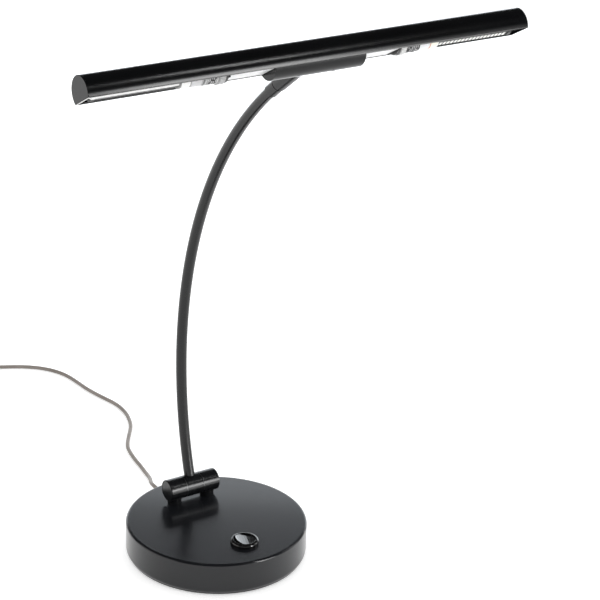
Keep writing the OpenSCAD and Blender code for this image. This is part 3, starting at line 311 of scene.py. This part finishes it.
# the lamps in the shade: their colours change along and round the shade's axis
shadeAxis = (-0.154755, 0.61303)
lampLooks = {
    "boardBlack": (0.01, 0.01, 0.011),
    "boardSpeck": (0.03, 0.03, 0.03),
    "bodyWhite": (0.97, 0.97, 0.96),
    "bodySpeck": (0.88, 0.88, 0.86),
    "boardFrom": 0.0002,       # the boards lie further than this from the axis, to the side they face
    "rightBoards": -157.5,     # degrees round the axis that the black boards face
    "leftBoards": -52.5,
    "rightHolder": [(90, (0.05, 0.05, 0.05)), (95.2, (0.75, 0.75, 0.74)), (102, (0.03, 0.03, 0.032))],
    # the left lamp's holder is the same part as the right one, its bands recoloured darker: painted shade
    "leftHolderShaded": [(90, (0.05, 0.05, 0.05)), (101.6, (0.5, 0.5, 0.5)), (110.5, (0.04, 0.04, 0.04)),
                   (118.6, (0.42, 0.42, 0.42))],
    "rightHousing": [(110, (0.04, 0.04, 0.04)), (118.3, (0.82, 0.83, 0.85)), (130.4, (0.72, 0.3, 0.14)),
                     (131.5, (0.93, 0.91, 0.8)), (139.5, (0.93, 0.93, 0.9))],
    # the left lamp's housing is the same part as the right one, its white neck and seam recoloured
    # darker: painted shade
    "leftHousingShaded": [(110, (0.4, 0.4, 0.41)), (126.5, (0.62, 0.62, 0.63)), (137.4, (0.25, 0.24, 0.23)),
                    (138.2, (0.95, 0.95, 0.94)), (147.4, (0.3, 0.3, 0.3))],
    "knurls": 44,              # fine ribs round each holder's ring, drawn as stripes of painted shade
    "ringFrom": 0.0121,        # the ring lies outside this radius
    "ribFrom": 0.2,            # height of the ribs' wave from which the painted groove shade starts
    "ribShare": 0.55,
    "ribGrooveShade": (0.1, 0.1, 0.1),
    "crestFrom": 0.01075,      # painted glints light the thread's crest between these radii
    "crestTo": 0.0112,
    "crestGrain": 260,
    "crestShare": 0.47,        # the crest gets a painted glint where its grain is above this
    "rightCrestGlint": (0.6, 0.6, 0.6),
    "leftCrestGlint": (0.7, 0.7, 0.7),
    "housingDust": (0.55, 0.54, 0.5),
    "dustMost": 0.14,
}


def fromAxis(tree):
    where = addNode(tree, "ShaderNodeTexCoord", (-1300, 300))
    moved = addNode(tree, "ShaderNodeVectorMath", (-1150, 300), operation="SUBTRACT")
    moved.inputs[1].default_value = (0, *shadeAxis)
    link(tree, where.outputs["Object"], moved.inputs[0])
    split = addNode(tree, "ShaderNodeSeparateXYZ", (-1000, 300))
    link(tree, moved.outputs[0], split.inputs[0])
    return moved.outputs[0], split.outputs


def towards(tree, offset, degrees):
    turned = math.radians(degrees)
    dot = addNode(tree, "ShaderNodeVectorMath", (-850, 300), operation="DOT_PRODUCT")
    dot.inputs[1].default_value = (0, math.cos(turned), math.sin(turned))
    link(tree, offset, dot.inputs[0])
    return dot.outputs["Value"]


def bands(tree, along, stops, span=(0.08, 0.16)):
    place = between(tree, along, 0, 1, *span)
    ramp = addNode(tree, "ShaderNodeValToRGB", (-450, 450))
    ramp.color_ramp.interpolation = "CONSTANT"
    ends = ramp.color_ramp.elements
    for number, (start, colour) in enumerate(stops):
        share = (start / 1000 - span[0]) / (span[1] - span[0])
        stop = ends[number] if number < 2 else ends.new(share)
        stop.position = share
        stop.color = (*colour, 1)
    link(tree, place, ramp.inputs["Fac"])
    return ramp.outputs["Color"]


def plainPlastic(name, rough=(0.3, 0.45), shine=0.45):
    material = finish(name, (1, 1, 1), (1, 1, 1), *rough, grain=1500, bump=0.08, shine=shine, patch=60)
    tree = material.node_tree
    return material, tree, tree.nodes["Principled BSDF"]


def stickFinish(name, boardsFace):
    material, tree, shader = plainPlastic(name)
    offset, _ = fromAxis(tree)
    onBoard = math1(tree, "GREATER_THAN", towards(tree, offset, boardsFace), lampLooks["boardFrom"])
    speckle = noise(tree, 500, 2, 0.5)
    white = mixed(tree, between(tree, speckle, 0.0, 0.12), lampLooks["bodyWhite"],
                  lampLooks["bodySpeck"])
    black = mixed(tree, between(tree, speckle, 0.0, 0.5), lampLooks["boardBlack"],
                  lampLooks["boardSpeck"])
    link(tree, mixed(tree, onBoard, white, black), shader.inputs["Base Color"])
    return material


def holderFinish(name, stops, crest):
    material, tree, shader = plainPlastic(name)
    _, axes = fromAxis(tree)
    along = math1(tree, "ABSOLUTE", axes[0])
    base = bands(tree, along, stops)
    distance = math1(tree, "SQRT", math1(tree, "ADD", math1(tree, "MULTIPLY", axes[1], axes[1]),
                                         math1(tree, "MULTIPLY", axes[2], axes[2])))
    angle = math1(tree, "ARCTAN2", axes[1], axes[2])
    # painted shade: dark stripes round the ring stand for the shade in its rib grooves
    ribs = math1(tree, "SINE", math1(tree, "MULTIPLY", angle, lampLooks["knurls"]))
    onRing = math1(tree, "GREATER_THAN", distance, lampLooks["ringFrom"])
    ribShade = math1(tree, "MULTIPLY", math1(tree, "GREATER_THAN", ribs, lampLooks["ribFrom"]), onRing)
    ribbed = mixed(tree, math1(tree, "MULTIPLY", ribShade, lampLooks["ribShare"]), base,
                   lampLooks["ribGrooveShade"])
    # painted highlight: light dashes on the thread's crest stand for glints
    onCrest = math1(tree, "MULTIPLY", math1(tree, "GREATER_THAN", distance, lampLooks["crestFrom"]),
                    math1(tree, "LESS_THAN", distance, lampLooks["crestTo"]))
    dash = math1(tree, "GREATER_THAN", noise(tree, lampLooks["crestGrain"], 1, 0.5),
                 lampLooks["crestShare"])
    lit = mixed(tree, math1(tree, "MULTIPLY", onCrest, dash), ribbed, crest)
    link(tree, lit, shader.inputs["Base Color"])
    return material


def housingFinish(name, stops):
    material, tree, shader = plainPlastic(name, (0.25, 0.4))
    _, axes = fromAxis(tree)
    base = bands(tree, math1(tree, "ABSOLUTE", axes[0]), stops)
    cloud = noise(tree, 120, 2, 0.5)
    dusty = mixed(tree, between(tree, cloud, 0.0, lampLooks["dustMost"]), base, lampLooks["housingDust"])
    link(tree, dusty, shader.inputs["Base Color"])
    return material


made["rightStick"] = stickFinish("rightStick", lampLooks["rightBoards"])
made["leftStick"] = stickFinish("leftStick", lampLooks["leftBoards"])
made["rightHolder"] = holderFinish("rightHolder", lampLooks["rightHolder"], lampLooks["rightCrestGlint"])
made["leftHolderShaded"] = holderFinish("leftHolderShaded", lampLooks["leftHolderShaded"], lampLooks["leftCrestGlint"])
made["rightHousing"] = housingFinish("rightHousing", lampLooks["rightHousing"])
made["leftHousingShaded"] = housingFinish("leftHousingShaded", lampLooks["leftHousingShaded"])

# the left end cap: white plug inside the shade, and a white edge along its chord that is a painted
# highlight for the glint of light on that edge
capLook = {
    "plugFrom": 0.2449,        # the plug is nearer the middle than this
    "chord": 0.00775,          # the painted highlight edge lies further from the axis than this, towards the mouth
    "mouthFaces": -120,        # degrees round the axis
    "white": (0.9, 0.9, 0.89),
}


def capFinish(name):
    material = finish(name, **finishes["shadePaint"])
    tree = material.node_tree
    shader = tree.nodes["Principled BSDF"]
    paint = shader.inputs["Base Color"].links[0].from_socket
    offset, axes = fromAxis(tree)
    inside = math1(tree, "LESS_THAN", math1(tree, "ABSOLUTE", axes[0]), capLook["plugFrom"])
    # painted highlight: the chord edge turns white for the glint of light along it
    edge = math1(tree, "GREATER_THAN", towards(tree, offset, capLook["mouthFaces"]), capLook["chord"])
    link(tree, mixed(tree, math1(tree, "MAXIMUM", inside, edge), paint, capLook["white"]),
         shader.inputs["Base Color"])
    return material


made["leftCapPaintAndGlint"] = capFinish("leftCapPaintAndGlint")
print("lamp finishes set")

wears = {
    "basePaint": ["base_shell"],
    "hingePaint": ["post_left", "post_right", "knuckle_left", "knuckle_right", "knuckle_centre",
                   "hinge_caps"],
    "armPaint": ["arm_tube", "arm_collar", "neck_sleeve"],
    "shadePaint": ["shade_shell", "end_cap_right", "centre_cover"],
    "leftCapPaintAndGlint": ["end_cap_left"],
    "switchGloss": ["switch_housing", "switch_rocker"],
    "mattePlastic": ["cord_anchor", "cord_tie", "holder_brackets"],
    "rubberBlack": ["base_pad", "cord_gland", "strain_relief"],
    "whitePlastic": ["terminal_block", "wiring_cover_left", "wiring_cover_right"],
    "rightStick": ["led_stick_right"],
    "leftStick": ["led_stick_left"],
    "rightHolder": ["lamp_holder_right"],
    "leftHolderShaded": ["lamp_holder_left"],
    "rightHousing": ["lamp_housing_right"],
    "leftHousingShaded": ["lamp_housing_left"],
    "zincSteel": ["bottom_plate", "centre_bolt", "post_screws", "post_washers", "hinge_bolt",
                  "hinge_nut", "tube_setscrew", "swivel_stud", "swivel_nut", "neck_nipple",
                  "tilt_hub", "cover_screws", "carrier_bar", "tilt_brackets", "tilt_pin",
                  "tilt_nuts"],
    "brightSteel": ["spring_washers", "tilt_washers", "lamp_caps"],
    "washerSteelShaded": ["friction_washers"],
    "castIron": ["ballast_disc"],
    "contactBrass": ["switch_contacts", "plug_pins"],
    "leadSheath": ["base_wiring", "arm_wires", "plug_body"],
    "chipPhosphor": ["led_chips"],
}


def dress(piece, material):
    piece.data.materials.clear()
    piece.data.materials.append(material)


for name, worn in wears.items():
    for node in worn:
        dress(nodes[node], made[name])
dress(mainsLead, made["leadSheath"])
print("bare nodes", sorted(set(nodes) - {n for worn in wears.values() for n in worn}))

# studio: floor, sky and lights
studio = {
    "floorSize": 8,
    "floorDrop": 0.0002,   # how far the floor lies below the lamp's foot
    "floorColour": 0.86,
    "floorLift": 0.45,     # extra white for the camera, and for shiny and clear surfaces
    "skyDiffuse": 0.85,
    "skyLow": 1.0,         # what glossy paint sees at the horizon
    "skyHigh": 0.045,      # and overhead
    "skyFade": 0.22,       # height at which the horizon's white has gone
}


def makeFloor():
    half = studio["floorSize"] / 2
    mesh = bpy.data.meshes.new("floor")
    corners = [(-half, -half, 0), (half, -half, 0), (half, half, 0), (-half, half, 0)]
    mesh.from_pydata(corners, [], [(0, 1, 2, 3)])
    floor = bpy.data.objects.new("floor", mesh)
    scene.collection.objects.link(floor)
    floor.location.z = -studio["floorDrop"]
    material = bpy.data.materials.new("paleFloor")
    material.use_nodes = True
    tree = material.node_tree
    shader = tree.nodes["Principled BSDF"]
    grain = noise(tree, 6, 2, 0.5)
    c = studio["floorColour"]
    link(tree, colours(tree, grain, (c, c, c), (c + 0.02,) * 3), shader.inputs["Base Color"])
    shader.inputs["Roughness"].default_value = 0.9
    shader.inputs["Specular IOR Level"].default_value = 0.1
    path = addNode(tree, "ShaderNodeLightPath", (-400, -500))
    shiny = math1(tree, "MAXIMUM", path.outputs["Is Glossy Ray"], path.outputs["Is Transmission Ray"])
    seen = math1(tree, "MAXIMUM", path.outputs["Is Camera Ray"], shiny)
    link(tree, math1(tree, "MULTIPLY", seen, studio["floorLift"]), shader.inputs["Emission Strength"])
    shader.inputs["Emission Color"].default_value = (1, 1, 1, 1)
    mesh.materials.append(material)


def makeSky():
    sky = bpy.data.worlds.new("studioSky")
    scene.world = sky
    sky.use_nodes = True
    tree = sky.node_tree
    background = tree.nodes["Background"]
    where = addNode(tree, "ShaderNodeTexCoord", (-900, 0))
    split = addNode(tree, "ShaderNodeSeparateXYZ", (-700, 0))
    link(tree, where.outputs["Generated"], split.inputs[0])
    fall = between(tree, split.outputs["Z"], studio["skyLow"], studio["skyHigh"], 0.0,
                   studio["skyFade"])
    path = addNode(tree, "ShaderNodeLightPath", (-500, 300))
    shiny = math1(tree, "MAXIMUM", path.outputs["Is Glossy Ray"], path.outputs["Is Transmission Ray"])
    seen = addNode(tree, "ShaderNodeMix", (-150, 0), data_type="FLOAT")
    seen.inputs[2].default_value = studio["skyDiffuse"]
    link(tree, shiny, seen.inputs[0])
    link(tree, fall, seen.inputs[3])
    whole = addNode(tree, "ShaderNodeMix", (0, 100), data_type="FLOAT")
    whole.inputs[3].default_value = 1.0
    link(tree, path.outputs["Is Camera Ray"], whole.inputs[0])
    link(tree, seen.outputs[0], whole.inputs[2])
    link(tree, whole.outputs[0], background.inputs["Strength"])
    background.inputs["Color"].default_value = (1, 1, 1, 1)


# each softbox: place, where it aims, the way its long side runs, width, length, brightness;
# a glossOnly one is seen in shiny paint and lights nothing
softboxes = {
    "backBox": dict(place=(1.15, 1.75, 0.6), aim=(0, 0, 0.4), run=(0.83, -0.55, 0), width=1.1,
                    length=3.2, glow=2.15, tint=(0.9, 0.95, 1.0)),
    "lowBox": dict(place=(0.83, -1.8, 0.62), aim=(0, -0.1, 0.6), run=(0.83, 0.3, 0), width=0.34,
                   length=0.42, glow=22.0, glossOnly=True),
    "hingeBox": dict(place=(1.05, -1.8, 0.27), aim=(0, 0, 0.07), run=(0.83, 0.3, 0), width=0.4,
                     length=0.7, glow=13.0),
    "stripBox": dict(place=(0.78, -1.24, 1.69), aim=(0, -0.15, 0.6), run=(0.28, -0.43, -0.49),
                     width=0.05, length=0.42, glow=48.0, glossOnly=True),
    "leftBox": dict(place=(-1.9, 0.57, 0.56), aim=(0, 0, 0.3), run=(0.29, 0.95, 0), width=1.1, length=2.2,
                    glow=1.0, tint=(1.0, 0.97, 0.94)),
    "rightBox": dict(place=(1.9, -0.5, 0.9), aim=(0, 0, 0.3), run=(0, 0, 1), width=0.6, length=1.5,
                     glow=1.6),
}


def makeSoftbox(name, place, aim, run, width, length, glow, glossOnly=False, tint=(1, 1, 1)):
    light = bpy.data.lights.new(name, "AREA")
    light.shape = "RECTANGLE"
    light.size = width
    light.size_y = length
    light.energy = glow * math.pi * width * length
    light.color = tint
    lamp = bpy.data.objects.new(name, light)
    back = (Vector(place) - Vector(aim)).normalized()
    long = Vector(run)
    long = (long - back * long.dot(back)).normalized()
    turned = Matrix((long.cross(back), long, back)).transposed().to_4x4()
    lamp.matrix_world = Matrix.Translation(place) @ turned
    lamp.visible_camera = False
    lamp.visible_diffuse = not glossOnly
    scene.collection.objects.link(lamp)


makeFloor()
makeSky()
for name, box in softboxes.items():
    makeSoftbox(name, **box)
scene.view_settings.view_transform = "Standard"
print("studio set")

bpy.context.view_layer.update()
